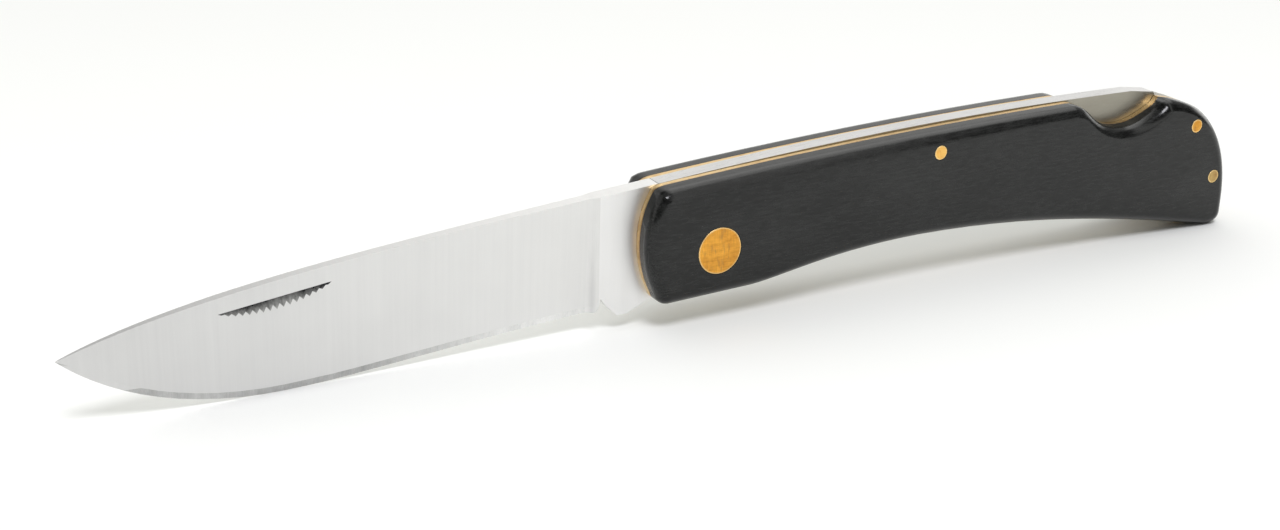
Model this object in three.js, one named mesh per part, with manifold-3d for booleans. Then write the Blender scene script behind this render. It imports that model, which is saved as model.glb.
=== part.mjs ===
// A lock-back folding pocket knife, open and locked.
//
// While it is drawn, the blade's pivot is the origin, X runs from the tip to the butt,
// Z runs up to the spine, and the left side, which has the nail nick, faces -Y. At the end the
// whole knife is moved so that the origin lies under its middle, on the plane it stands on.

import * as THREE from 'three';
import { mergeVertices } from 'three/addons/utils/BufferGeometryUtils.js';
import Module from 'manifold-3d';

const wasm = await Module();
wasm.setup();

// Driving dimensions in millimetres, and angles in degrees.

// Thicknesses, across the knife
const bladeStock = 2.8;
const slotClearance = 0.05;
const springWidth = 2.6;
const linerThickness = 1.0;
const coverThickness = 3.5;
const coverRounding = 2.0;

// Reach from the pivot to the tip of the open blade, which sets the length of the handle
const bladeReach = 98.3;
const buttPastTip = 7.2;

// Handle outline. Places near the butt are measured forwards from its rear end.
const handleFront = 12.1;
const spineCrestReach = 76;
const spineCrestHeight = 13.93;
const spineRadius = 1080;
const frontTopReach = 9.9;
const frontLowReach = 10.15;
const frontLowDrop = 6.3;
const frontCornerRun = 1.9;
const frontCornerRise = 1.55;
const frontBulgeHeight = 2.4;
const bolsterEndReach = 6.5;
const bolsterEndDrop = 7.28;
const waistReach = 38;
const waistDrop = 4.05;
const standDrop = 12.06;
const footLength = 1.4;
const buttCornerRadius = 2.3;
const buttShoulderSetback = 21.5;
const buttFullDrop = 7.5;

// Thumb notch
const notchSetback = 24.9;
const notchRadius = 11.2;
const notchFloorHeight = 8.85;
const notchLeadIn = 11.8;
const notchLeadInEnd = 7.4;

// Pins
const smallPinRadius = 1.19;
const pivotPinRadius = 2.0;
const pivotCapRadius = 3.75;
const pivotCapThickness = 1.2;
const pinClearance = 0.05;
const rockerPin = { x: 40.7, z: 10.1 };
const upperRearPinSetback = 9.4;
const upperRearPinHeight = 7.4;
const lowerRearPinSetback = 3.8;
const lowerRearPinDrop = 2.6;

// Blade
const tipDrop = 1.62;
const bellySetback = 30.3;
const heelReach = 19.2;
const heelDrop = 8.75;
const heelRounding = 1.1;
const choilHeight = 2.2;
const choilFlat = 0.2;
const choilCornerReach = 0.7;
const choilCornerDrop = 0.8;
const ricassoReach = 18.3;
const plungeLength = 2.0;
const groundSpine = 2.1;
const thinSpine = 1.4;
const shoulderThickness = 0.5;
const keenThickness = 0.05;
const bevelHeight = 1.0;
const bevelShareAtTip = 0.3;
const tipTaperLength = 22;
const kickReach = 15.15;
const kickFlat = 1.5;
const kickDrop = 9.65;
const tangBackRadius = 7.6;
const tangBackEnd = 12;
const tangUnderReach = 9.4;
const tangUnderDrop = 7.8;
const closedAngle = 174;

// Nail nick
const nickSetback = 22.45;
const nickHeight = 1.45;
const nickLength = 15.9;
const nickSlope = 7.4;
const nickDepth = 0.42;
const nickWidth = 1.35;
const nickFlutes = 17;
const fluteRidge = 0.55;
const nickRise = 0.3;

// Lock bar
const seamReach = 8.6;
const seamGap = 0.1;
const toothLength = 4.2;
const toothNotchFloor = 5.3;
const toothRun = 0.3;
const toothDraft = 0.4;
const toothDraftHeight = 1.2;
const lockBarBelly = 7.6;
const lockBarBellyLength = 13;
const lockBarTailHeight = 8.8;
const lockBarProud = 0.28;
const lockBarEndSetback = 17.5;
const lockBarEndGap = 0.4;
const tailRounding = 0.4;
const kickSeatGap = 0.1;
const kickSeatRun = 5;

// Back spring
const springStock = 1.3;
const springReach = 32.5;
const springTipGap = 0.15;
const springSeatHeight = 4.0;
const springSeatSetback = 15;
const springTailLength = 7;
const springSlotGap = 0.2;

// Butt spacer
const spacerWall = 1.6;
const tipRoom = 0.9;
const tipRoomRise = 2.7;

// Pulls of the free curves, at the start and at the end of each. A pull is given as shares of
// the way across and of the way up between the curve's two ends.
const buttPulls = [[0.643, 0.015], [1, 0.41]];
const buttCornerPulls = [[0, 0.55], [0.45, 1]];
const handleBellyPulls = [[0.255, 0.425], [0.6, 1]];
const bolsterRisePulls = [[0.545, 0.044], [0.82, 0.9]];
const frontCornerPulls = [[0.55, 0], [0.95, 0.5]];
const notchStartPulls = [[0.4, 0], [0.65, 0.41]];
const bladeSpinePulls = [[0.45, 0.264], [0.8, 0.45]];
const bellyEdgePulls = [[0.175, 0.477], [0.488, 1]];
const straightEdgePulls = [[0.246, 0.016], [0.43, 0.507]];
const springArmPulls = [[0.26, 0.06], [0.57, 0.9]];

// Fineness of the round stretches
const curveSteps = 14;
const pinSides = 32;
const capSides = 64;
const bladeStations = 26;
const stationCrowding = 1.5;
const plungeSteps = 7;
const roundingSteps = 7;
const findingSteps = 40;
const overrun = 1;
const sameCorner = 1e-5;

const radians = THREE.MathUtils.degToRad;

// The height of the handle's spine, a long shallow arc
function spineHeight(x) {
  const along = x - spineCrestReach;
  return spineCrestHeight - spineRadius + Math.sqrt(spineRadius ** 2 - along ** 2);
}

const point = (x, z) => new THREE.Vector2(x, z);

// Points along the circle through three points, from the first to the last
function arcThrough(first, middle, last, steps) {
  const ax = middle.x - first.x;
  const ay = middle.y - first.y;
  const bx = last.x - first.x;
  const by = last.y - first.y;
  const cross = 2 * (ax * by - ay * bx);
  const a2 = ax * ax + ay * ay;
  const b2 = bx * bx + by * by;
  const centre = point(first.x + (by * a2 - ay * b2) / cross, first.y + (ax * b2 - bx * a2) / cross);
  const radius = centre.distanceTo(first);
  const start = Math.atan2(first.y - centre.y, first.x - centre.x);
  let sweep = Math.atan2(last.y - centre.y, last.x - centre.x) - start;
  if (cross > 0 && sweep < 0) sweep += 2 * Math.PI;
  if (cross < 0 && sweep > 0) sweep -= 2 * Math.PI;
  return Array.from({ length: steps + 1 }, (_, i) => {
    const angle = start + (sweep * i) / steps;
    return point(centre.x + radius * Math.cos(angle), centre.y + radius * Math.sin(angle));
  });
}

// A smooth curve from one end to the other, with a pull at each
function curveBetween(start, end, [startPull, endPull]) {
  const pulled = ([across, up]) =>
    point(start.x + across * (end.x - start.x), start.y + up * (end.y - start.y));
  return new THREE.CubicBezierCurve(start, pulled(startPull), pulled(endPull), end);
}

// The height of a curve that runs on steadily in X
function heightOn(curve, x) {
  if (x === curve.v0.x) return curve.v0.y;
  if (x === curve.v3.x) return curve.v3.y;
  const rising = curve.v3.x > curve.v0.x;
  let low = 0;
  let high = 1;
  for (let i = 0; i < findingSteps; i += 1) {
    const middle = (low + high) / 2;
    const before = curve.getPoint(middle).x < x;
    if (before === rising) low = middle;
    else high = middle;
  }
  return curve.getPoint((low + high) / 2).y;
}

// A point turned with the blade about its pivot, by an angle towards closed
function closing(p, degrees) {
  return p.clone().rotateAround(point(0, 0), radians(degrees));
}

// Places that follow from the length of the blade

const handleRear = bladeReach + buttPastTip;
const notchReach = handleRear - notchSetback;
const lockBarEnd = handleRear - lockBarEndSetback;
const springSeatStart = handleRear - springSeatSetback;
const springTailEnd = springSeatStart + springTailLength;
const springTip = springSeatStart - springReach;
const upperRearPin = { x: handleRear - upperRearPinSetback, z: upperRearPinHeight };
const lowerRearPin = { x: handleRear - lowerRearPinSetback, z: -lowerRearPinDrop };
const bellyReach = bladeReach - bellySetback;
const buttShoulderReach = handleRear - buttShoulderSetback;

// Outlines of the handle

const footEnd = point(handleRear - buttCornerRadius, -standDrop);
const cornerStart = point(handleRear, -standDrop + buttCornerRadius);
const footStart = point(footEnd.x - footLength, -standDrop);
const buttShoulder = point(buttShoulderReach, spineHeight(buttShoulderReach));
const buttFull = point(handleRear, -buttFullDrop);
const waist = point(waistReach, -waistDrop);
const bolsterEnd = point(bolsterEndReach, -bolsterEndDrop);
const frontLow = point(-frontLowReach, -frontLowDrop);
const frontUnder = point(frontLow.x + frontCornerRun, frontLow.y - frontCornerRise);
const frontTop = point(-frontTopReach, spineHeight(-frontTopReach));
const buttCurve = curveBetween(buttShoulder, buttFull, buttPulls);

// The height of the handle's top anywhere along it
function topHeight(x) {
  return x < buttShoulder.x ? spineHeight(x) : heightOn(buttCurve, x);
}

// Points along the handle's top from one place to another
function topPoints(from, to, steps) {
  return Array.from({ length: steps + 1 }, (_, i) => {
    const x = from + ((to - from) * i) / steps;
    return point(x, topHeight(x));
  });
}

function handleOutline() {
  const cornerCurve = curveBetween(cornerStart, footEnd, buttCornerPulls);
  const bellyCurve = curveBetween(footStart, waist, handleBellyPulls);
  const riseCurve = curveBetween(waist, bolsterEnd, bolsterRisePulls);
  const frontCorner = curveBetween(frontUnder, frontLow, frontCornerPulls);
  return [
    ...topPoints(frontTop.x, buttShoulder.x, curveSteps),
    ...buttCurve.getPoints(curveSteps * 2).slice(1),
    ...cornerCurve.getPoints(curveSteps / 2),
    ...bellyCurve.getPoints(curveSteps),
    ...riseCurve.getPoints(curveSteps).slice(1),
    ...frontCorner.getPoints(roundingSteps).slice(0, -1),
    ...arcThrough(frontLow, point(-handleFront, frontBulgeHeight), frontTop, curveSteps).slice(0, -1),
  ];
}

// The same outline with the thumb notch scooped out of its top. The scoop is round, with an
// eased start on the side towards the blade and a sharp end, where the outline goes on with the
// first point that lies clear of the rounding.
function notchedOutline() {
  const centre = point(notchReach, notchFloorHeight + notchRadius);
  const scooped = (p) => p.distanceTo(centre) < notchRadius;
  const start = point(notchReach - notchLeadIn, topHeight(notchReach - notchLeadIn));
  const drop = Math.sqrt(notchRadius ** 2 - notchLeadInEnd ** 2);
  const joint = point(notchReach - notchLeadInEnd, centre.y - drop);
  const floor = point(notchReach, notchFloorHeight);
  const outline = handleOutline();
  const first = outline.findIndex((p) => p.x > start.x);
  const last = outline.findLastIndex(scooped);
  let within = outline[last];
  let exit = outline[last + 1];
  for (let i = 0; i < findingSteps; i += 1) {
    const middle = exit.clone().lerp(within, 0.5);
    if (scooped(middle)) within = middle;
    else exit = middle;
  }
  return [
    ...outline.slice(0, first),
    ...curveBetween(start, joint, notchStartPulls).getPoints(roundingSteps).slice(0, -1),
    ...arcThrough(joint, floor, exit, curveSteps),
    ...outline.slice(last + 1).filter((p) => p.distanceTo(exit) > coverRounding),
  ];
}

// Solids and geometries

function solid(geometry) {
  const bare = geometry.clone();
  bare.deleteAttribute('normal');
  bare.deleteAttribute('uv');
  const merged = mergeVertices(bare, sameCorner);
  const corners = merged.index.array;
  const kept = [];
  for (let i = 0; i < corners.length; i += 3) {
    const [a, b, c] = corners.slice(i, i + 3);
    if (a !== b && b !== c && c !== a) kept.push(a, b, c);
  }
  const vertProperties = new Float32Array(merged.attributes.position.array);
  const triVerts = new Uint32Array(kept);
  return new wasm.Manifold(new wasm.Mesh({ numProp: 3, vertProperties, triVerts }));
}

function geometryOf(body) {
  const mesh = body.getMesh();
  const geometry = new THREE.BufferGeometry();
  geometry.setAttribute('position', new THREE.BufferAttribute(mesh.vertProperties, mesh.numProp));
  geometry.setIndex(new THREE.BufferAttribute(mesh.triVerts, 1));
  geometry.computeVertexNormals();
  return geometry;
}

// A flat plate with the given outline, between two places across the knife
function plate(outline, nearY, farY) {
  const options = { depth: farY - nearY, bevelEnabled: false };
  const geometry = new THREE.ExtrudeGeometry(new THREE.Shape(outline), options);
  geometry.rotateX(Math.PI / 2);
  geometry.translate(0, farY, 0);
  return solid(geometry);
}

function centredPlate(outline, thickness) {
  return plate(outline, -thickness / 2, thickness / 2);
}

// A round rod across the knife
function rod(place, radius, nearY, farY, sides) {
  const geometry = new THREE.CylinderGeometry(radius, radius, farY - nearY, sides);
  geometry.translate(place.x, (nearY + farY) / 2, place.z);
  return solid(geometry);
}

// A closed body through a row of rings of points. The rings have equally many points, the
// two end rings are filled in, and flatten gives the two coordinates that fill them.
function bodyThrough(rings, flatten) {
  const size = rings[0].length;
  const corners = rings.flat();
  const index = [];
  const fill = (ring, forwards) => {
    const flat = rings[ring].map(flatten);
    const area = THREE.ShapeUtils.area(flat);
    for (const face of THREE.ShapeUtils.triangulateShape(flat, [])) {
      const along = THREE.ShapeUtils.area(face.map((i) => flat[i])) * area > 0;
      const [a, b, c] = face.map((i) => ring * size + i);
      index.push(...(along === forwards ? [a, b, c] : [c, b, a]));
    }
  };
  fill(0, false);
  fill(rings.length - 1, true);
  for (let ring = 0; ring + 1 < rings.length; ring += 1) {
    for (let i = 0; i < size; i += 1) {
      const a = ring * size + i;
      const b = ring * size + ((i + 1) % size);
      index.push(a, b, a + size, b, b + size, a + size);
    }
  }
  const volume = index.reduce((sum, _, i) => {
    if (i % 3) return sum;
    const [a, b, c] = index.slice(i, i + 3).map((corner) => corners[corner]);
    return sum + a.dot(b.clone().cross(c));
  }, 0);
  if (volume < 0) index.reverse();
  const geometry = new THREE.BufferGeometry().setFromPoints(corners);
  geometry.setIndex(index);
  return solid(geometry);
}

// A plate whose edge is rounded over on its outer side. The outline is whole on the inner
// face and is drawn in by the rounding on the outer one.
function roundedPlate(outline, innerY, outerY, rounding) {
  const side = Math.sign(outerY - innerY);
  const ring = (inset, y) => drawnIn(outline, inset).map((p) => new THREE.Vector3(p.x, y, p.y));
  const rings = [ring(0, innerY)];
  for (let step = 0; step <= roundingSteps; step += 1) {
    const angle = ((Math.PI / 2) * step) / roundingSteps;
    const inset = rounding * (1 - Math.cos(angle));
    rings.push(ring(inset, outerY - side * rounding * (1 - Math.sin(angle))));
  }
  return bodyThrough(rings, (p) => point(p.x, p.z));
}

// An outline moved inwards, each corner along its mitre
function drawnIn(outline, inset) {
  const turn = THREE.ShapeUtils.isClockWise(outline) ? -1 : 1;
  const moved = outline.map((p, i) => {
    const before = p.clone().sub(outline.at(i - 1)).normalize();
    const after = outline[(i + 1) % outline.length].clone().sub(p).normalize();
    const normal = point(-before.y - after.y, before.x + after.x).multiplyScalar(turn).normalize();
    const lean = -before.y * turn * normal.x + before.x * turn * normal.y;
    return p.clone().addScaledVector(normal, inset / lean);
  });
  return unfolded(outline, moved);
}

// Where a corner is tighter than the move, its points have passed each other. They are brought
// to the one place where the stretches on both sides of the corner cross.
function unfolded(outline, moved) {
  const points = [...moved];
  const place = (i) => (i + points.length) % points.length;
  const stretch = (from, i) => from[place(i + 1)].clone().sub(from[place(i)]);
  const advance = (i) => stretch(points, i).dot(stretch(outline, i));
  for (let i = 0; i < points.length; i += 1) {
    if (advance(i) < 0) {
      let first = i;
      let last = i;
      while (advance(first - 1) <= 0) first -= 1;
      while (advance(last + 1) <= 0) last += 1;
      const before = stretch(points, first - 1);
      const after = stretch(points, last + 1);
      const apart = points[place(last + 1)].clone().sub(points[place(first)]);
      const share = apart.cross(after) / before.cross(after);
      const meeting = points[place(first)].clone().addScaledVector(before, share);
      for (let k = first; k <= last + 1; k += 1) points[place(k)] = meeting;
      i = -1;
    }
  }
  return points;
}

// Sizes that follow from the driving dimensions

const slotHalf = bladeStock / 2 + slotClearance;
const linerOuter = slotHalf + linerThickness;
const faceOut = linerOuter + coverThickness;
const pinHole = smallPinRadius + pinClearance;
const pivotHole = pivotPinRadius + pinClearance;
const through = faceOut + overrun;

// Blade

const tip = point(-bladeReach, -tipDrop);
const belly = point(-bellyReach, -standDrop);
const heel = point(-heelReach, -heelDrop);
const seam = point(-seamReach, spineHeight(-seamReach));
const bladeSpine = curveBetween(seam, tip, bladeSpinePulls);
const bellyEdge = curveBetween(tip, belly, bellyEdgePulls);
const straightEdge = curveBetween(belly, heel, straightEdgePulls);
const choilX = heel.x + heelRounding;

// The height of the lower outline of the ground blade, with its heel rounded up
function edgeHeight(x) {
  if (x <= belly.x) return heightOn(bellyEdge, x);
  if (x <= heel.x) return heightOn(straightEdge, x);
  const along = Math.min(1, (x - heel.x) / heelRounding);
  return heel.y + choilHeight * (1 - Math.sqrt(1 - along ** 2));
}

// One upright section of the ground blade. The plunge runs from 0 on the flats to 1 where
// the blade has its full thickness.
function bladeSection(x, plunge) {
  const top = heightOn(bladeSpine, x);
  const bottom = edgeHeight(x);
  const fromTip = x + bladeReach;
  const taper = Math.sqrt(Math.min(1, fromTip / tipTaperLength));
  const along = fromTip / (bladeReach - ricassoReach - plungeLength);
  const spine = thinSpine + (groundSpine - thinSpine) * Math.min(1, along) ** 2;
  const full = (thickness) => (thickness * taper + (bladeStock - thickness) * plunge) / 2;
  const bevelTop = bottom + Math.min(bevelHeight, (top - bottom) * bevelShareAtTip);
  const at = (y, z) => new THREE.Vector3(x, y, z);
  return [
    at(full(spine), top),
    at(-full(spine), top),
    at(-full(shoulderThickness), bevelTop),
    at(-full(keenThickness), bottom),
    at(full(keenThickness), bottom),
    at(full(shoulderThickness), bevelTop),
  ];
}

function groundBlade() {
  const plungeStart = -ricassoReach - plungeLength;
  const rings = [];
  for (let i = 0; i <= bladeStations; i += 1) {
    const share = (i / bladeStations) ** stationCrowding;
    rings.push(bladeSection(-bladeReach + share * (plungeStart + bladeReach), 0));
  }
  for (let i = 1; i <= plungeSteps; i += 1) {
    const share = i / plungeSteps;
    const plunge = THREE.MathUtils.smoothstep(share, 0, 1);
    rings.push(bladeSection(plungeStart + plungeLength * share, plunge));
  }
  for (let i = 1; i <= plungeSteps; i += 1) {
    const angle = ((Math.PI / 2) * i) / plungeSteps;
    const x = -ricassoReach + (choilX + ricassoReach) * Math.sin(angle);
    rings.push(bladeSection(x, 1));
  }
  return bodyThrough(rings, (p) => point(p.y, p.z));
}

// The ricasso and the tang, with the lock's notch behind the seam
function tangOutline() {
  const notchBack = -(seamReach - toothLength) + toothRun;
  const notchCorner = point(notchBack, Math.sqrt(tangBackRadius ** 2 - notchBack ** 2));
  const tangLow = closing(point(0, -tangBackRadius), -tangBackEnd);
  const tangRear = point(tangBackRadius, 0);
  const kickBack = point(-kickReach + kickFlat, -kickDrop);
  const kickFront = point(-kickReach, -kickDrop);
  const choilTop = point(choilX, heel.y + choilHeight);
  const top = Array.from({ length: curveSteps + 1 }, (_, i) => {
    const x = choilX + ((seam.x - choilX) * i) / curveSteps;
    return point(x, heightOn(bladeSpine, x));
  });
  return [
    ...top,
    point(seam.x, toothNotchFloor),
    point(notchBack, toothNotchFloor),
    ...arcThrough(notchCorner, tangRear, tangLow, curveSteps * 2),
    point(-tangUnderReach, -tangUnderDrop),
    kickBack,
    kickFront,
    point(choilX + choilCornerReach, choilTop.y - choilCornerDrop),
    point(choilX + choilFlat, choilTop.y),
    choilTop,
  ];
}

// The fluted nail nick: a straight wall on top, and a sloping floor cut in flutes whose
// depth swells to the middle and dies out at both ends
function nickCutter() {
  const tilt = radians(nickSlope);
  const along = new THREE.Vector3(Math.cos(tilt), 0, Math.sin(tilt));
  const down = new THREE.Vector3(Math.sin(tilt), 0, -Math.cos(tilt));
  const into = new THREE.Vector3(0, 1, 0);
  const start = new THREE.Vector3(nickSetback - bladeReach, 0, nickHeight);
  const stations = nickFlutes * 2;
  const rings = [];
  for (let i = 0; i <= stations; i += 1) {
    const share = i / stations;
    const swell = 4 * share * (1 - share);
    const flute = i % 2 ? 1 : fluteRidge;
    const depth = nickDepth * swell * flute;
    const width = nickWidth * swell * flute;
    const top = start.clone().addScaledVector(along, share * nickLength);
    top.y = flatSurface(top.x, top.z);
    const lip = top.clone().addScaledVector(down, width);
    lip.y = flatSurface(lip.x, lip.z);
    const rise = depth > 0 ? nickRise : 0;
    const slope = depth > 0 ? width / depth : 0;
    rings.push([
      top.clone().addScaledVector(into, -rise),
      top.clone().addScaledVector(into, depth),
      lip.clone().addScaledVector(into, -rise).addScaledVector(down, rise * slope),
    ]);
  }
  const flatten = (p) => point(p.dot(down), p.y);
  return bodyThrough(rings, flatten);
}

// How far out the blade's ground flat lies at a place on its left side
function flatSurface(x, z) {
  const section = bladeSection(x, 0);
  const spine = section[1];
  const shoulder = section[2];
  return THREE.MathUtils.mapLinear(z, spine.z, shoulder.z, spine.y, shoulder.y);
}

function blade() {
  return groundBlade()
    .add(centredPlate(tangOutline(), bladeStock))
    .subtract(nickCutter())
    .subtract(rod({ x: 0, z: 0 }, pivotHole, -through, through, capSides));
}

// Lock bar: a rocker over the tang, with a tooth in front and the thumb's place behind

const kickTop = closing(point(-kickReach + kickFlat, -kickDrop), closedAngle).y;
const noseUnder = kickTop + kickSeatGap;
const bellyStart = point(rockerPin.x - lockBarBellyLength / 2, lockBarBelly);
const bellyFinish = point(rockerPin.x + lockBarBellyLength / 2, lockBarBelly);
const tailLow = point(lockBarEnd, lockBarTailHeight);

// The height of the lock bar's sloping underside, behind its belly
function tailUnder(x) {
  return THREE.MathUtils.mapLinear(x, bellyFinish.x, tailLow.x, bellyFinish.y, tailLow.y);
}

// The top of the lock bar, which stands a little proud of the liners along its middle
function lockBarTop(front) {
  const back = lockBarEnd - tailRounding;
  return topPoints(front, back, curveSteps * 2).map((p) => {
    const share = (p.x - front) / (back - front);
    return point(p.x, p.y + lockBarProud * Math.sin(Math.PI * share));
  });
}

function lockBarOutline() {
  const front = -seamReach + seamGap;
  const toothBack = -(seamReach - toothLength);
  const toothFoot = Math.sqrt((tangBackRadius + toothRun) ** 2 - toothBack ** 2);
  const kickSeatEnd = kickReach + kickSeatRun;
  return [
    ...lockBarTop(front),
    point(lockBarEnd, topHeight(lockBarEnd) - tailRounding),
    tailLow,
    bellyFinish,
    bellyStart,
    point(kickSeatEnd, noseUnder),
    point(toothBack, noseUnder),
    point(toothBack, toothFoot),
    point(front + toothDraft, toothFoot),
    point(front, toothFoot + toothDraftHeight),
  ];
}

function lockBar() {
  return centredPlate(lockBarOutline(), bladeStock)
    .subtract(rod(rockerPin, pinHole, -through, through, pinSides));
}

// Back spring: a flat bar, held by its tail in the butt spacer, that presses the lock bar's
// tail up from below

function backSpring() {
  const seat = springSeatHeight + springStock / 2;
  const tipY = tailUnder(springTip) - springTipGap - springStock / 2;
  const root = point(springSeatStart, seat);
  const end = point(springTip, tipY);
  const arm = curveBetween(root, end, springArmPulls);
  const middle = [point(springTailEnd, seat), ...arm.getPoints(curveSteps)];
  const edge = (side) => middle.map((p, i) => {
    const before = middle[Math.max(0, i - 1)];
    const after = middle[Math.min(middle.length - 1, i + 1)];
    const across = after.clone().sub(before).normalize().rotateAround(point(0, 0), Math.PI / 2);
    return p.clone().addScaledVector(across, (side * springStock) / 2);
  });
  return centredPlate([...edge(1), ...edge(-1).reverse()], springWidth);
}

// Butt spacer: fills the butt between the liners, and clears the tip of the closed blade

function buttSpacer() {
  const slotFloor = springSeatHeight - springSlotGap;
  const slotRoof = springSeatHeight + springStock + springSlotGap;
  const slotEnd = springTailEnd + springSlotGap;
  const upperFront = lockBarEnd + lockBarEndGap;
  const tipPath = bladeReach + tipRoom;
  const closedTip = closing(tip, closedAngle);
  const beyond = handleRear + overrun;
  const region = [
    point(upperFront, beyond),
    point(upperFront, slotRoof),
    point(slotEnd, slotRoof),
    point(slotEnd, slotFloor),
    point(springSeatStart, slotFloor),
    point(springSeatStart, slotFloor - spacerWall),
    point(tipPath, closedTip.y + tipRoomRise),
    point(tipPath, -beyond),
    point(beyond, -beyond),
    point(beyond, beyond),
  ];
  return centredPlate(notchedOutline(), slotHalf * 2)
    .intersect(centredPlate(region, 2 * through))
    .subtract(rod(upperRearPin, pinHole, -through, through, pinSides))
    .subtract(rod(lowerRearPin, pinHole, -through, through, pinSides));
}

// Liners and covers

function drilled(body, pivotRadius) {
  let result = body.subtract(rod({ x: 0, z: 0 }, pivotRadius, -through, through, capSides));
  for (const place of [rockerPin, upperRearPin, lowerRearPin]) {
    result = result.subtract(rod(place, pinHole, -through, through, pinSides));
  }
  return result;
}

function liner(side) {
  const [near, far] = [side * slotHalf, side * linerOuter].sort((a, b) => a - b);
  return drilled(plate(notchedOutline(), near, far), pivotHole);
}

function cover(side) {
  const outline = notchedOutline();
  const body = roundedPlate(outline, side * linerOuter, side * faceOut, coverRounding);
  const recess = faceOut - pivotCapThickness;
  const [near, far] = [side * recess, side * through].sort((a, b) => a - b);
  const capHole = rod({ x: 0, z: 0 }, pivotCapRadius + pinClearance, near, far, capSides);
  return drilled(body, pivotHole).subtract(capHole);
}

function pivotCap(side) {
  const [near, far] = [side * (faceOut - pivotCapThickness), side * faceOut].sort((a, b) => a - b);
  return rod({ x: 0, z: 0 }, pivotCapRadius, near, far, capSides);
}

function pivotPin() {
  const end = faceOut - pivotCapThickness;
  return rod({ x: 0, z: 0 }, pivotPinRadius, -end, end, capSides);
}

function smallPin(place) {
  return rod(place, smallPinRadius, -faceOut, faceOut, pinSides);
}

// Finishes

const finishes = {
  steel: { color: 0xd9d8d4, roughness: 0.28, metalness: 1 },
  springSteel: { color: 0xa9a7a2, roughness: 0.4, metalness: 1 },
  brass: { color: 0xcda75c, roughness: 0.3, metalness: 1 },
  brassPin: { color: 0xe0a23c, roughness: 0.35, metalness: 1 },
  laminate: { color: 0x383a3a, roughness: 0.5, metalness: 0 },
};

const knife = new THREE.Group();

function addPiece(name, body, finish) {
  const material = new THREE.MeshStandardMaterial(finishes[finish]);
  const mesh = new THREE.Mesh(geometryOf(body), material);
  mesh.name = name;
  knife.add(mesh);
}

addPiece('blade', blade(), 'steel');
addPiece('lock_bar', lockBar(), 'steel');
addPiece('back_spring', backSpring(), 'springSteel');
addPiece('butt_spacer', buttSpacer(), 'steel');
addPiece('liner_left', liner(-1), 'brass');
addPiece('liner_right', liner(1), 'brass');
addPiece('cover_left', cover(-1), 'laminate');
addPiece('cover_right', cover(1), 'laminate');
addPiece('pivot_pin', pivotPin(), 'brassPin');
addPiece('pivot_cap_left', pivotCap(-1), 'brassPin');
addPiece('pivot_cap_right', pivotCap(1), 'brassPin');
addPiece('rocker_pin', smallPin(rockerPin), 'brassPin');
addPiece('rear_upper_pin', smallPin(upperRearPin), 'brassPin');
addPiece('rear_lower_pin', smallPin(lowerRearPin), 'brassPin');

// The origin goes under the middle of the knife, at the height that it stands on
const extent = new THREE.Box3().setFromObject(knife);
const middle = extent.getCenter(new THREE.Vector3());
knife.position.set(-middle.x, -middle.y, -extent.min.z);

export default knife;
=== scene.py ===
"""A lock-back folding pocket knife, open, standing on its edge on a pale table."""

import math

import bmesh
import bpy
from mathutils import Euler, Matrix, Vector


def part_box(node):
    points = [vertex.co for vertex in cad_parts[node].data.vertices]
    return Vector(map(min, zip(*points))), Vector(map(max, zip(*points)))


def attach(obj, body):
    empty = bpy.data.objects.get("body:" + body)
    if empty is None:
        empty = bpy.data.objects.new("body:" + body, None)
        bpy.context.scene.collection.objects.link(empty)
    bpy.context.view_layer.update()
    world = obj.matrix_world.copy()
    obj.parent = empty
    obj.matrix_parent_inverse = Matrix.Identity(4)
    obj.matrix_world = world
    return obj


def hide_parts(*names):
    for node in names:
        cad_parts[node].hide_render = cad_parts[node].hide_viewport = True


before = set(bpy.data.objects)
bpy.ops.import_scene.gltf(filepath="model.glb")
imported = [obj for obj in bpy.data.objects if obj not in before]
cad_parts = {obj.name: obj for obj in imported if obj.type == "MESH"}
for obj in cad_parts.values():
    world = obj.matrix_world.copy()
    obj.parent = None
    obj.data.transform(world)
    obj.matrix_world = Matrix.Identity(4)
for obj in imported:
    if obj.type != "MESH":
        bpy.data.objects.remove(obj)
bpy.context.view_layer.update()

mm = 0.001

# Making the pieces
weld_distance = 0.002 * mm
flat_angle = math.radians(0.3)
crisp_angle = math.radians(32)
sharp_corner = math.radians(55)
edge_steps = 3

# Eased edges
bar_edge = 0.06 * mm
spacer_edge = 0.08 * mm
spring_edge = 0.1 * mm
seam_edge = 0.16 * mm
inner_edge = 0.03 * mm
pin_edge = 0.08 * mm
disc_edge = 0.1 * mm

# Blade: which of its faces are flat, ground, honed or part of the nick
nick_room = (Vector((-80, -2, 11)) * mm, Vector((-62, 0, 17)) * mm)
nick_tilt = 0.985
nick_upright = 0.95
flat_lean = 0.999
side_lean = 0.9
bevel_lean = 0.15
ricasso_front = -22.1 * mm
blade_crisp = math.radians(7)

# Nail nick
nick_start = Vector((-79.45, 0, 13.51)) * mm
nick_length = 15.9 * mm
nick_slope = math.radians(7.4)
nick_stretch = 0.6 * mm
flute_growth = 1.35
flute_fullness = 0.25
flute_end = 0.01
lip_depth = 0.05 * mm

# Painted shade: a dark streak down the end of the grind, where the plunge curves
streak_rise = (-23.5 * mm, -22.9 * mm)
streak_fall = (-22.8 * mm, -22.3 * mm)
streak_heights = (7 * mm, 15 * mm)
streak_top = 0.15

# Corner where the thumb notch runs out into the butt
exit_drop = {"left": 0.75 * mm, "middle": 0.75 * mm, "right": 1.1 * mm}
exit_before = 81.5 * mm
exit_place = 85 * mm
exit_behind = 96 * mm
exit_low = 20.8 * mm
exit_high = 24.2 * mm

# Upper front corner of the handle
front_corner = -13.5 * mm
front_round = 1.8 * mm
front_cuts = 4
front_sink = 0.45 * mm
front_low = 19.5 * mm
front_high = 22.3 * mm

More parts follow.
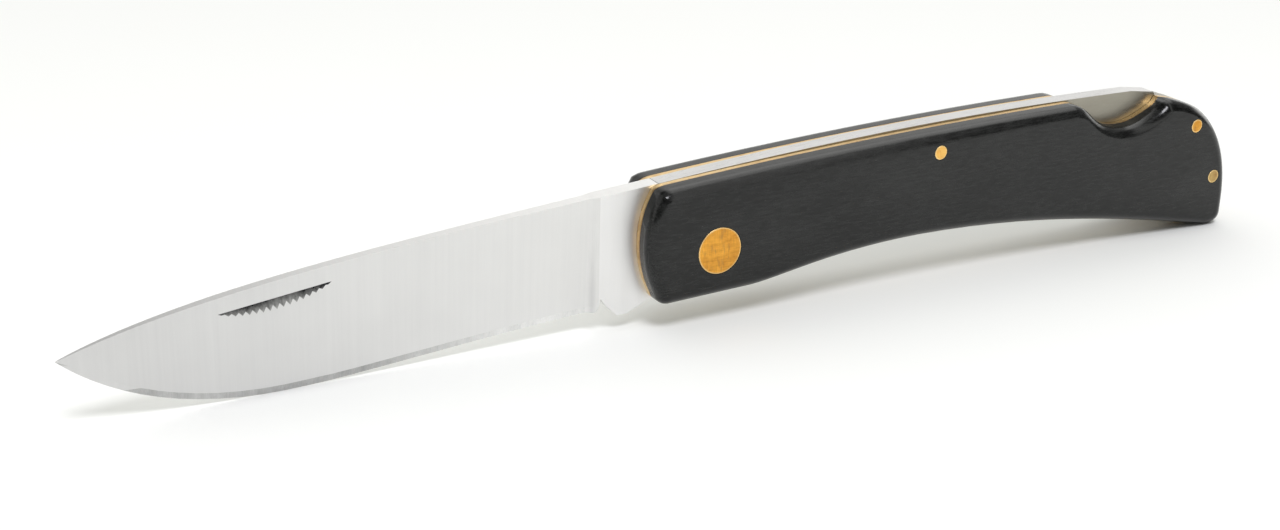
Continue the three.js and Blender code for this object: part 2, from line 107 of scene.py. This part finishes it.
# Lock bar's tail and the spacer behind it
bar_added = 1.6 * mm
bar_fall = 0.4 * mm
bar_rise = 0.05 * mm
tail_length = 0.5 * mm
tail_height = 3 * mm
spacer_reach = 0.9 * mm
spacer_upper = 17.5 * mm

# Liners: places across the knife, from its middle, and along it
liner_middle = 1.9 * mm
seam_start = 2.15 * mm
liner_outer = 2.45 * mm
liner_front = -15.7 * mm
liner_front_depth = 1.2 * mm

# Pins and discs
pin_sides = 64
disc_sides = 128
pin_crown = 0.04 * mm
disc_crown = 0.05 * mm
crown_steps = 3
crown_inset = 0.26

# Camera
camera_place = Vector((-145.593, -235.368, 116.098)) * mm
camera_turn = [math.radians(angle) for angle in (68.397, -1.3775, -28.633)]
camera_lens = 53.44

# Table and lamp
table_size = 6.0
table_tone = (0.82, 0.822, 0.812)
table_yellow = 0.98
table_glow = (0.146, 0.154, 0.143)
# How far and how deep the painted contact shadow under the knife reaches
contact_reach = 5 * mm
contact_dark = 0.15
contact_open = 0.8
lamp_place = Vector((-0.1, -0.45, 0.85))
lamp_tone = (1.0, 0.995, 1.05)
lamp_size = 0.36
lamp_power = 5.2

# Studio: how bright it is, and between which directions the brightness changes, from -1 to 1
studio_tone = (1.0, 0.995, 0.975)
studio_front = 0.22
studio_back = 1.1
studio_turn = (-0.35, 0.35)
mirror_turn = (-0.25, 0.02)
horizon_light = 1.17
wall_light = 0.8
wall_heights = (0.12, 0.36)
left_shade = 0.12
overhead_light = 2.4
overhead_start = (0.02, 0.34)
right_shade = 0.3
overhead_end = (0.62, 0.7)
overhead_heights = (0.42, 0.78)
right_light = 2.4
right_heights = (0.16, 0.34)
right_start = (0.74, 0.9)
front_glow = 1.5
front_shade = 0.14
front_start = (0.2, 0.42)
front_end = (0.46, 0.62)

# Where most of a noise lies, and the sockets of a mix node: its share, colours and result
noise_range = (0.3, 0.7)
mix_part, mix_first, mix_second, mix_result = 0, 6, 7, 2


def tone(red, green, blue):
    return (red, green, blue, 1.0)


def share(value, start, end):
    """How far a value has come from a start to an end, from 0 to 1."""
    return min(1, max(0, (value - start) / (end - start)))


# Finishes


class Nodes:
    """A tree of nodes in the making."""

    def __init__(self, tree):
        self.tree = tree

    def node(self, kind, **inputs):
        made = self.tree.nodes.new(kind)
        for name, value in inputs.items():
            self.feed(made, name.replace("_", " "), value)
        return made

    def feed(self, target, socket, value):
        if isinstance(value, bpy.types.NodeSocket):
            self.tree.links.new(value, target.inputs[socket])
        else:
            target.inputs[socket].default_value = value

    def remap(self, value, low, high, to_low, to_high, smooth=False):
        """Turns one range of a value into another, and goes no further than its ends."""
        made = self.node(
            "ShaderNodeMapRange",
            Value=value,
            From_Min=low,
            From_Max=high,
            To_Min=to_low,
            To_Max=to_high,
        )
        if smooth:
            made.interpolation_type = "SMOOTHSTEP"
        return made.outputs["Result"]

    def reckon(self, operation, *values):
        made = self.tree.nodes.new("ShaderNodeMath")
        made.operation = operation
        for socket, value in enumerate(values):
            self.feed(made, socket, value)
        return made.outputs[0]

    def reckon_vectors(self, operation, *vectors):
        made = self.tree.nodes.new("ShaderNodeVectorMath")
        made.operation = operation
        for socket, vector in enumerate(vectors):
            self.feed(made, socket, vector)
        return made

    def sum(self, *values):
        total = values[0]
        for value in values[1:]:
            total = self.reckon("ADD", total, value)
        return total


class Finish(Nodes):
    """A material in the making, with its shader and the coordinates of its piece."""

    def __init__(self, name, **settings):
        self.material = bpy.data.materials.new(name)
        self.material.use_nodes = True
        super().__init__(self.material.node_tree)
        self.shader = self.tree.nodes["Principled BSDF"]
        for setting, value in settings.items():
            self.set(setting.replace("_", " "), value)
        self.place = self.node("ShaderNodeTexCoord").outputs["Object"]

    def set(self, socket, value):
        self.feed(self.shader, socket, value)

    def axes(self):
        return self.node("ShaderNodeSeparateXYZ", Vector=self.place).outputs

    def grain(self, per_mm, detail=3.0, roughness=0.55):
        """Noise with so many changes to the millimetre along X, Y and Z."""
        stretch = self.node(
            "ShaderNodeMapping",
            Vector=self.place,
            Scale=[count / mm for count in per_mm],
        )
        noise = self.node(
            "ShaderNodeTexNoise",
            Vector=stretch.outputs["Vector"],
            Scale=1.0,
            Detail=detail,
            Roughness=roughness,
        )
        return noise.outputs["Fac"]

    def spread(self, noise, to_low, to_high):
        """Turns the range where most of a noise lies into another."""
        return self.remap(noise, *noise_range, to_low, to_high)

    def slope(self, start, end, first, last):
        """Goes from one value to another between two places on the piece, in millimetres."""
        way = Vector(end) - Vector(start)
        begin = Vector(start).dot(way) / way.length
        reach = self.reckon_vectors("DOT_PRODUCT", self.place, way / way.length)
        return self.remap(
            reach.outputs["Value"], begin * mm, (begin + way.length) * mm, first, last
        )

    def mix(self, part, first, second, beyond=False):
        """Goes from the first colour to the second, and past them where it may."""
        made = self.tree.nodes.new("ShaderNodeMix")
        made.data_type = "RGBA"
        made.clamp_factor = not beyond
        self.feed(made, mix_part, part)
        self.feed(made, mix_first, first)
        self.feed(made, mix_second, second)
        return made.outputs[mix_result]

    def edge_sheen(self, low, high):
        """How far a place is on a raised edge, from 0 to 1."""
        pointed = self.node("ShaderNodeNewGeometry").outputs["Pointiness"]
        return self.remap(pointed, low, high, 0.0, 1.0)

    def relief(self, height, depth):
        """Bumps of the given depth in millimetres."""
        made = self.node("ShaderNodeBump", Height=height, Strength=1.0, Distance=depth * mm)
        self.set("Normal", made.outputs["Normal"])


def ground_steel(name, lines, dark, light, smooth, rough, depth, paler=None, streak=0.0):
    """Steel with fine grinding lines, so many to the millimetre along X, Y and Z.

    It may grow paler along the millimetres from one place to another, a painted light and shade,
    and it may have a dark streak of painted shade down the end of the grind.
    """
    made = Finish(name, Metallic=1.0)
    fine = made.grain(lines, detail=4.0, roughness=0.7)
    broad = made.grain([count * 0.12 for count in lines], detail=2.0)
    cloud = made.grain((0.09, 0.09, 0.09), detail=2.0)
    look = made.sum(
        made.spread(fine, -0.2, 0.2), made.spread(broad, -0.2, 0.2), made.spread(cloud, 0.3, 0.7)
    )
    # Painted light and shade: paler towards one place and darker towards another
    if paler:
        look = made.sum(look, made.slope(*paler))
    # Painted shade: a dark streak down the end of the grind
    if streak:
        along, _, up = made.axes()
        begins = made.remap(along, *streak_rise, 0.0, -streak)
        ends = made.remap(along, *streak_fall, 1.0, 0.0)
        height = made.remap(up, *streak_heights, 1.0, streak_top)
        narrow = made.reckon("MULTIPLY", begins, ends)
        look = made.sum(look, made.reckon("MULTIPLY", narrow, height))
    made.set("Base Color", made.mix(look, dark, light, beyond=bool(paler)))
    made.set("Roughness", made.spread(fine, smooth, rough))
    made.relief(fine, depth)
    return made.material


def laminate():
    """Dark pressed laminate, polished, with fine fibres that run along the handle, and a painted
    highlight on its raised edges.
    """
    made = Finish("black_laminate", IOR=1.42)
    fibres = made.grain((0.4, 2.0, 2.6), detail=5.0, roughness=0.7)
    pores = made.grain((1.6, 8.0, 8.0), detail=3.0, roughness=0.6)
    cloud = made.grain((0.05, 0.3, 0.12), detail=2.0)
    # Painted highlight: the raised edges are made paler
    look = made.sum(
        made.remap(fibres, 0.38, 0.72, 0.0, 0.7),
        made.remap(pores, 0.5, 0.75, 0.0, 0.25),
        made.spread(cloud, -0.1, 0.2),
        made.remap(made.edge_sheen(0.53, 0.6), 0.0, 1.0, 0.0, 0.3),
    )
    black, grey = tone(0.0004, 0.0005, 0.0004), tone(0.027, 0.0285, 0.027)
    made.set("Base Color", made.mix(look, black, grey))
    made.set("Roughness", made.remap(fibres, 0.25, 0.75, 0.13, 0.25))
    made.relief(made.sum(fibres, pores), 0.005)
    return made.material


def liner_brass():
    """Sheet brass, pale where it is polished and brown along its seam with the cover."""
    made = Finish("liner_brass", Metallic=1.0)
    stains = made.grain((0.25, 0.8, 0.5), detail=4.0, roughness=0.6)
    lines = made.grain((0.3, 7.0, 7.0), detail=3.0, roughness=0.6)
    along, across, _ = made.axes()
    outwards = made.reckon("ABSOLUTE", across)
    seam = made.remap(outwards, seam_start, liner_outer, 0.0, 0.7)
    front = made.remap(along, liner_front, liner_front + liner_front_depth, 0.5, 0.0)
    brown = made.sum(seam, front, made.remap(stains, 0.5, 0.72, 0.0, 0.45))
    warm = made.mix(made.spread(lines, 0.0, 1.0), tone(0.74, 0.50, 0.22), tone(0.86, 0.66, 0.36))
    made.set("Base Color", made.mix(brown, warm, tone(0.33, 0.18, 0.06)))
    made.set("Roughness", made.spread(stains, 0.25, 0.42))
    made.relief(lines, 0.001)
    return made.material


def stud_brass(name, node, blotch, scratch, dull, bright, rim):
    """Orange brass sanded flush, mottled and finely scratched, with a painted highlight along its
    rim.
    """
    low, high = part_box(node)
    middle = (low + high) / 2
    radius = (high.x - low.x) / 2
    made = Finish(name, Metallic=1.0)
    mottle = made.grain((blotch, blotch, blotch * 1.5), detail=4.0, roughness=0.6)
    upright = made.grain((scratch, 1.0, 0.35), detail=3.0, roughness=0.7)
    lengthwise = made.grain((0.35, 1.0, scratch), detail=3.0, roughness=0.7)
    smears = made.grain((1.1, 1.0, 0.45), detail=2.0, roughness=0.5)
    look = made.sum(
        made.spread(mottle, 0.15, 0.85),
        made.spread(upright, -0.25, 0.25),
        made.spread(lengthwise, -0.25, 0.25),
    )
    flat = made.reckon_vectors(
        "MULTIPLY_ADD", made.place, (1.0, 0.0, 1.0), (-middle.x, 0.0, -middle.z)
    )
    reach = made.reckon_vectors("LENGTH", flat.outputs[0])
    # Painted highlight: a pale rim round the end
    edge = made.remap(
        reach.outputs["Value"], radius * (1 - rim), radius * (1 - rim / 3), 0.0, 0.8
    )
    face = made.mix(look, dull, bright)
    face = made.mix(made.remap(smears, 0.56, 0.68, 0.0, 0.45), face, tone(0.36, 0.19, 0.07))
    made.set("Base Color", made.mix(edge, face, tone(0.98, 0.72, 0.34)))
    made.set("Roughness", made.spread(mottle, 0.3, 0.48))
    made.relief(made.sum(upright, lengthwise), 0.003)
    return made.material


# Blade flats: paler from the tip and spine towards the heel and edge, a painted light, with a
# painted dark streak down the end of the grind
blade_steel = ground_steel(
    "blade_steel", (9.0, 0.6, 0.12), tone(0.685, 0.682, 0.678), tone(0.745, 0.742, 0.735),
    0.4, 0.48, 0.0012, paler=((-95, 0, 22), (-35, 0, 2), -1.0, 1.5), streak=1.7,
)
# Honed edge: its own coarser lines, and a darker tone which is painted shade of the floor it
# mirrors, growing darker towards the tip
bevel_steel = ground_steel(
    "bevel_steel", (5.0, 0.6, 1.2), tone(0.46, 0.46, 0.455), tone(0.74, 0.74, 0.73),
    0.28, 0.4, 0.003, paler=((-54, 0, 3), (-36, 0, 3), -0.4, 0.55),
)
# Ricasso: finer lines than the flats, and a much paler tone, which is painted light
ricasso_steel = ground_steel(
    "ricasso_steel", (6.0, 0.6, 0.3), tone(0.87, 0.866, 0.86), tone(0.93, 0.926, 0.92),
    0.4, 0.48, 0.001,
)
# Nail nick: its downward wall gets a near-black steel, which is painted shade
nick_steel = ground_steel(
    "nick_steel", (2.0, 2.0, 2.0), tone(0.10, 0.10, 0.10), tone(0.20, 0.20, 0.20),
    0.35, 0.5, 0.004,
)
# Flutes of the nick: painted shade in the hollows, darker at their top and paler at their bottom
flute_steel = ground_steel(
    "flute_steel", (2.0, 2.0, 2.0), tone(0.08, 0.08, 0.08), tone(0.5, 0.5, 0.49),
    0.3, 0.45, 0.004, paler=((-77, 0, 13.7), (-76.8, 0, 12.1), -0.5, 0.5),
)
bar_steel = ground_steel(
    "bar_steel", (0.12, 4.0, 4.0), tone(0.60, 0.596, 0.59), tone(0.71, 0.705, 0.70),
    0.24, 0.38, 0.002,
)
bar_side_steel = ground_steel(
    "bar_side_steel", (0.4, 4.0, 3.0), tone(0.30, 0.28, 0.235), tone(0.42, 0.40, 0.34),
    0.3, 0.45, 0.002,
)
spring_steel = ground_steel(
    "spring_steel", (0.3, 5.0, 5.0), tone(0.34, 0.33, 0.32), tone(0.5, 0.49, 0.48),
    0.3, 0.45, 0.003,
)
cover_laminate = laminate()
sheet_brass = liner_brass()
pivot_brass = stud_brass(
    "pivot_brass", "pivot_cap_left", 0.4, 4.0, tone(0.54, 0.225, 0.036), tone(0.96, 0.49, 0.08), 0.07
)
pin_brasses = {
    "rocker_pin": (tone(0.84, 0.41, 0.085), tone(1.0, 0.66, 0.2)),
    "rear_upper_pin": (tone(0.56, 0.24, 0.035), tone(0.86, 0.45, 0.077)),
    "rear_lower_pin": (tone(0.37, 0.235, 0.083), tone(0.61, 0.43, 0.175)),
}


# Pieces


def merged_copy(node):
    """A node's shape as one closed skin, with each flat face whole."""
    skin = bmesh.new()
    skin.from_mesh(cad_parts[node].data)
    bmesh.ops.remove_doubles(skin, verts=skin.verts, dist=weld_distance)
    bmesh.ops.dissolve_limit(
        skin, angle_limit=flat_angle, verts=skin.verts, edges=skin.edges
    )
    return skin


def ease(skin, edges, width, **limits):
    """Rounds some edges of a skin."""
    bmesh.ops.bevel(
        skin,
        geom=edges,
        offset=width,
        offset_type="OFFSET",
        affect="EDGES",
        segments=edge_steps,
        profile=0.5,
        material=-1,
        **limits,
    )


def break_edges(skin, width, chosen=None):
    """Rounds the outward corners of a skin."""
    corners = [
        edge
        for edge in skin.edges
        if edge.is_manifold
        and edge.is_convex
        and edge.calc_face_angle() > sharp_corner
        and (chosen is None or chosen(edge))
    ]
    ease(skin, corners, width, clamp_overlap=True)


def link_mesh(name, skin):
    """Turns a skin into an object in the scene."""
    mesh = bpy.data.meshes.new(name)
    skin.to_mesh(mesh)
    skin.free()
    made = bpy.data.objects.new(name, mesh)
    bpy.context.scene.collection.objects.link(made)
    return made


def set_piece(name, skin, body, node, material_slot, *materials, crisp=crisp_angle):
    """Turns a skin into a piece that stands for its node and rides with its body."""
    piece = link_mesh(name, skin)
    piece.data.shade_smooth()
    piece.data.set_sharp_from_angle(angle=crisp)
    even = piece.modifiers.new("even_shading", "WEIGHTED_NORMAL")
    even.keep_sharp = True
    for material in materials:
        piece.data.materials.append(material)
    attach(piece, body)
    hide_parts(node)


def widen_flutes(lips):
    """Makes the nick's flutes reach further down, and the nick a little longer in front."""
    along = Vector((math.cos(nick_slope), 0, math.sin(nick_slope)))
    down = Vector((math.sin(nick_slope), 0, -math.cos(nick_slope)))
    for corner in lips:
        reach = (corner.co - nick_start).dot(along) / nick_length
        drop = (corner.co - nick_start).dot(down)
        if flute_end < reach < 1 - flute_end and drop > lip_depth:
            swell = (4 * reach * (1 - reach)) ** flute_fullness
            corner.co += down * drop * (flute_growth / swell - 1)
        corner.co += along * nick_stretch * (reach - 1)


def make_blade():
    """The ground blade, with a nail nick darkened by painted shade and an edge that is honed by
    itself.
    """
    finishes = {
        "ground": blade_steel,
        "nick": nick_steel,
        "bevel": bevel_steel,
        "flutes": flute_steel,
        "ricasso": ricasso_steel,
    }
    order = list(finishes)
    skin = merged_copy("blade")
    skin.normal_update()
    low, high = nick_room
    lips = set()
    for face in skin.faces:
        middle = face.calc_center_median()
        lean = face.normal
        inside = all(low[axis] < middle[axis] < high[axis] for axis in range(3))
        if inside and -nick_tilt < lean.y < side_lean and abs(lean.z) < nick_upright:
            # The nick's downward and upward walls get dark steels of painted shade
            finish = "nick" if lean.z < 0 else "flutes"
            lips.update(face.verts)
        elif middle.x > ricasso_front and abs(lean.y) > flat_lean:
            finish = "ricasso"
        elif lean.z < -bevel_lean and abs(lean.y) > side_lean:
            finish = "bevel"
        else:
            finish = "ground"
        face.material_index = order.index(finish)
    widen_flutes(lips)
    set_piece(
        "blade_ground", skin, "blade", "blade", "blade_steel", *finishes.values(),
        crisp=blade_crisp,
    )


def lower_exit(skin, side):
    """Brings down the corner where the thumb notch runs out into the butt's round top."""
    for corner in skin.verts:
        far = exit_before if corner.co.x < exit_place else exit_behind
        near = share(corner.co.x, far, exit_place)
        lift = share(corner.co.z, exit_low, exit_high)
        corner.co.z -= exit_drop[side] * near * lift


def round_front(skin):
    """Rounds off the upper front corner of the handle."""
    end = front_corner + front_round
    for cut in range(front_cuts):
        whole = list(skin.verts) + list(skin.edges) + list(skin.faces)
        place = end - front_round * cut / front_cuts
        bmesh.ops.bisect_plane(
            skin, geom=whole, dist=weld_distance / 10, plane_co=(place, 0, 0), plane_no=(1, 0, 0)
        )
    for corner in skin.verts:
        past = share(corner.co.x, end, front_corner)
        lift = share(corner.co.z, front_low, front_high)
        corner.co.z -= front_sink * past**2 * lift


def make_lock_bar():
    """The lock bar, satin along its top, with its tail run on to the end of the notch."""
    skin = merged_copy("lock_bar")
    _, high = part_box("lock_bar")
    for corner in skin.verts:
        if corner.co.x > high.x - tail_length:
            upper = corner.co.z > high.z - tail_height
            corner.co += Vector((bar_added, 0, -bar_fall if upper else bar_rise))
    break_edges(skin, bar_edge)
    skin.normal_update()
    for face in skin.faces:
        face.material_index = int(abs(face.normal.y) > flat_lean)
    set_piece(
        "lock_bar_finished", skin, "lock_bar", "lock_bar", "bar_steel", bar_steel, bar_side_steel
    )


def make_back_spring():
    skin = merged_copy("back_spring")
    break_edges(skin, spring_edge)
    set_piece(
        "back_spring_finished", skin, "back_spring", "back_spring", "spring_steel", spring_steel
    )


def make_spacer():
    """The butt spacer, which leaves room for the end of the lock bar."""
    skin = merged_copy("butt_spacer")
    lower_exit(skin, "middle")
    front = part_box("lock_bar")[1].x + spacer_reach
    facing = [corner for corner in skin.verts if corner.co.x < front and corner.co.z > spacer_upper]
    bmesh.ops.translate(skin, verts=facing, vec=(bar_added, 0, 0))
    break_edges(skin, spacer_edge)
    set_piece(
        "butt_spacer_finished", skin, "handle", "butt_spacer", "bar_steel", bar_side_steel
    )


def make_liner(side):
    """A brass liner, with its outer edges eased where they meet the cover."""
    node = "liner_" + side
    skin = merged_copy(node)
    lower_exit(skin, side)
    round_front(skin)
    outer = (liner_middle + liner_outer) / 2
    break_edges(skin, seam_edge, lambda edge: abs(edge.verts[0].co.y) > outer)
    break_edges(skin, inner_edge, lambda edge: abs(edge.verts[0].co.y) < outer)
    set_piece(node + "_finished", skin, "handle", node, "liner_brass", sheet_brass)


def make_cover(side):
    """A laminate cover, whose outer edges are round already."""
    node = "cover_" + side
    skin = merged_copy(node)
    lower_exit(skin, side)
    round_front(skin)
    set_piece(node + "_finished", skin, "handle", node, "cover_laminate", cover_laminate)


def make_stud(node, sides, eased, crown, material):
    """A round pin or disc across the knife, with eased edges and slightly crowned ends."""
    low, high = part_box(node)
    middle = (low + high) / 2
    radius = (high.x - low.x) / 2
    skin = bmesh.new()
    bmesh.ops.create_cone(
        skin,
        cap_ends=True,
        segments=sides,
        radius1=radius,
        radius2=radius,
        depth=high.y - low.y,
    )
    ends = [face for face in skin.faces if len(face.verts) > 4]
    rims = [edge for edge in skin.edges if any(face in ends for face in edge.link_faces)]
    ease(skin, rims, eased)
    for step in range(crown_steps, 0, -1):
        ends = [face for face in skin.faces if len(face.verts) > 4]
        bmesh.ops.inset_individual(
            skin, faces=ends, thickness=radius * crown_inset, use_even_offset=True
        )
        rise = crown * step / sum(range(crown_steps + 1))
        for face in ends:
            bmesh.ops.translate(skin, verts=face.verts, vec=face.normal * rise)
    bmesh.ops.rotate(skin, verts=skin.verts, matrix=Matrix.Rotation(math.pi / 2, 3, "X"))
    bmesh.ops.translate(skin, verts=skin.verts, vec=middle)
    set_piece(node + "_finished", skin, "handle", node, "pin_brass", material)


make_blade()
make_lock_bar()
make_back_spring()
make_spacer()
for side in ("left", "right"):
    make_liner(side)
    make_cover(side)
    make_stud("pivot_cap_" + side, disc_sides, disc_edge, disc_crown, pivot_brass)
make_stud("pivot_pin", disc_sides, disc_edge, 0.0, pivot_brass)
for pin, (dull, bright) in pin_brasses.items():
    pin_brass = stud_brass(pin + "_brass", pin, 0.9, 6.0, dull, bright, 0.22)
    make_stud(pin, pin_sides, pin_edge, pin_crown, pin_brass)


# Table, studio and camera


def make_table():
    """The white table, which glows a little but for where the knife stands close to it: a painted
    contact shadow.
    """
    skin = bmesh.new()
    bmesh.ops.create_grid(skin, x_segments=1, y_segments=1, size=table_size / 2)
    table = link_mesh("table", skin)
    made = Finish(
        "table_white", Roughness=0.9, Specular_IOR_Level=0.0, Emission_Color=tone(*table_glow)
    )
    mottle = made.grain((0.02, 0.02, 0.02), detail=2.0)
    red, green, blue = table_tone
    white, cream = tone(red, green, blue), tone(red, green, blue * table_yellow)
    made.set("Base Color", made.mix(mottle, white, cream))
    rays = made.node("ShaderNodeLightPath").outputs
    seen = made.sum(rays["Is Camera Ray"], rays["Is Glossy Ray"], rays["Is Transmission Ray"])
    # Painted shadow: the glow fades where the knife stands close
    near = made.node("ShaderNodeAmbientOcclusion", Distance=contact_reach)
    open_sky = made.remap(near.outputs["AO"], contact_dark, contact_open, 0.0, 1.0)
    glow = made.reckon("MULTIPLY", made.remap(seen, 0.0, 1.0, 0.0, 1.0), open_sky)
    made.set("Emission Strength", glow)
    table.data.materials.append(made.material)


def make_studio():
    """Pale surroundings, which polished pieces mirror as brighter and darker fields."""
    world = bpy.data.worlds.new("studio")
    bpy.context.scene.world = world
    world.use_nodes = True
    sky = Nodes(world.node_tree)
    shade = sky.tree.nodes["Background"]
    sky.feed(shade, "Color", tone(*studio_tone))

    def ramp(value, turn, first, last):
        return sky.remap(value, *turn, first, last, smooth=True)

    way = sky.node("ShaderNodeTexCoord").outputs["Generated"]
    along, across, up = sky.node("ShaderNodeSeparateXYZ", Vector=way).outputs
    rays = sky.node("ShaderNodeLightPath").outputs
    lit = ramp(across, studio_turn, studio_front, studio_back)
    wall = ramp(up, wall_heights, horizon_light, wall_light)
    overhead = ramp(along, overhead_start, left_shade, overhead_light)
    overhead = ramp(along, overhead_end, overhead, right_shade)
    behind = ramp(up, overhead_heights, wall, overhead)
    right = ramp(up, right_heights, right_light, right_shade)
    behind = ramp(along, right_start, behind, right)
    before = ramp(along, front_end, front_glow, front_shade)
    before = ramp(along, front_start, left_shade, before)
    mirrored = ramp(across, mirror_turn, before, behind)
    level = ramp(rays["Is Glossy Ray"], (0, 1), lit, mirrored)
    level = ramp(rays["Is Camera Ray"], (0, 1), level, 1.0)
    sky.feed(shade, "Strength", level)


def stand_object(name, data, place, turn):
    stand = bpy.data.objects.new(name, data)
    stand.location = place
    stand.rotation_euler = turn
    bpy.context.scene.collection.objects.link(stand)
    return stand


def add_lamp():
    """A round soft lamp above and before the knife, aimed at the middle of it."""
    lamp = bpy.data.lights.new("overhead", "AREA")
    lamp.shape = "DISK"
    lamp.color = lamp_tone
    lamp.size = lamp_size
    lamp.energy = lamp_power
    stand_object("overhead", lamp, lamp_place, (-lamp_place).to_track_quat("-Z", "Y").to_euler())


def add_camera():
    camera = bpy.data.cameras.new("camera")
    camera.lens = camera_lens
    camera.sensor_width = 36
    camera.clip_start = 0.01
    bpy.context.scene.camera = stand_object("camera", camera, camera_place, Euler(camera_turn))


make_table()
make_studio()
add_lamp()
add_camera()

bpy.context.scene.view_settings.view_transform = "Standard"
